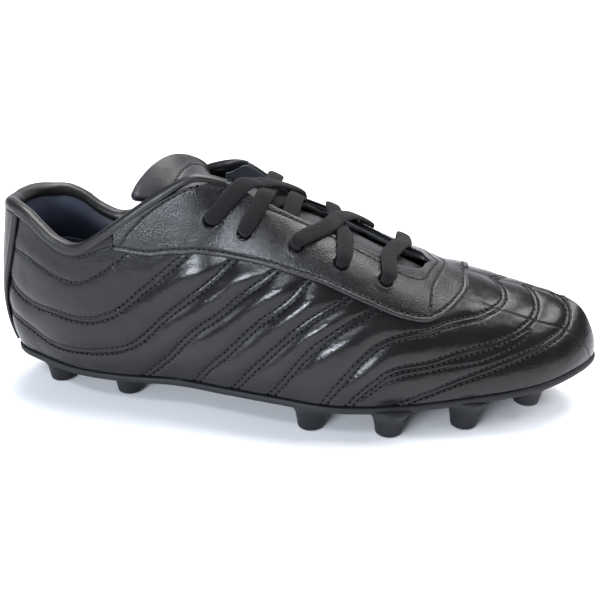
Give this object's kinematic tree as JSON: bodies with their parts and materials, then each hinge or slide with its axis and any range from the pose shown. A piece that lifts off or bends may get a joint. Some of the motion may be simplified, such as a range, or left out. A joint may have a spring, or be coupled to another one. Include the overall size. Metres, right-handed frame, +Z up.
{
  "type": "soccer cleat",
  "caption": "Low-cut lace-up football boot for the right foot, with quilted black leather upper and a moulded stud plate.",
  "frame": {"origin": "on the ground under the middle of the boot's box, where the stud tips stand", "axes": "+X towards the toe, +Y towards the inner side of the foot, +Z up"},
  "size_m": [0.286, 0.0935, 0.114],
  "materials": {
    "upper_leather": "satin black grained leather",
    "trim_leather": "smooth black leather trim",
    "tongue_leather": "smooth black leather",
    "collar_lining": "dark navy lining",
    "vamp_lining": "dark grey textile lining",
    "facing_suede": "dark blue-black suede",
    "padding": "grey open-cell foam",
    "stiffener": "pressed fibreboard",
    "board": "lasting board",
    "footbed": "dark knitted cover on foam",
    "plate": "matte black moulded plastic",
    "lace": "matte black woven lace",
    "aglet": "shrunk clear film over black lace"
  },
  "bodies": {
    "root": {"outsole": "plate", "insole_board": "board", "sockliner": "footbed", "heel_counter": "stiffener", "toe_puff": "stiffener", "side_panel_lateral": "upper_leather", "side_panel_medial": "upper_leather", "quilt_foam_lateral": "padding", "quilt_foam_medial": "padding", "heel_lining": "collar_lining", "vamp_lining_lateral": "vamp_lining", "vamp_lining_medial": "vamp_lining", "eyestay_lateral": "upper_leather", "eyestay_medial": "upper_leather", "throat_bridge": "upper_leather", "facing_backer_lateral": "facing_suede", "facing_backer_medial": "facing_suede", "collar_binding": "trim_leather", "collar_foam": "padding", "collar_lining": "collar_lining", "heel_stay": "trim_leather", "tongue_leather": "tongue_leather", "tongue_foam": "padding", "tongue_lining": "collar_lining", "lace": "lace", "lace_end_lateral": "lace", "lace_end_medial": "lace", "aglet_lateral": "aglet", "aglet_medial": "aglet"},
    "flap": {"tongue_flap_leather": "tongue_leather", "tongue_flap_foam": "padding", "tongue_flap_lining": "collar_lining"}
  },
  "joints": [
    {"name": "tongue_flap", "type": "hinge", "parent": "root", "child": "flap", "pos_m": [-0.0383, 0, 0.1042], "axis": [0, 1, 0], "range_deg": [-8, 70], "stiffness_Nm_per_rad": 0.05}
  ]
}
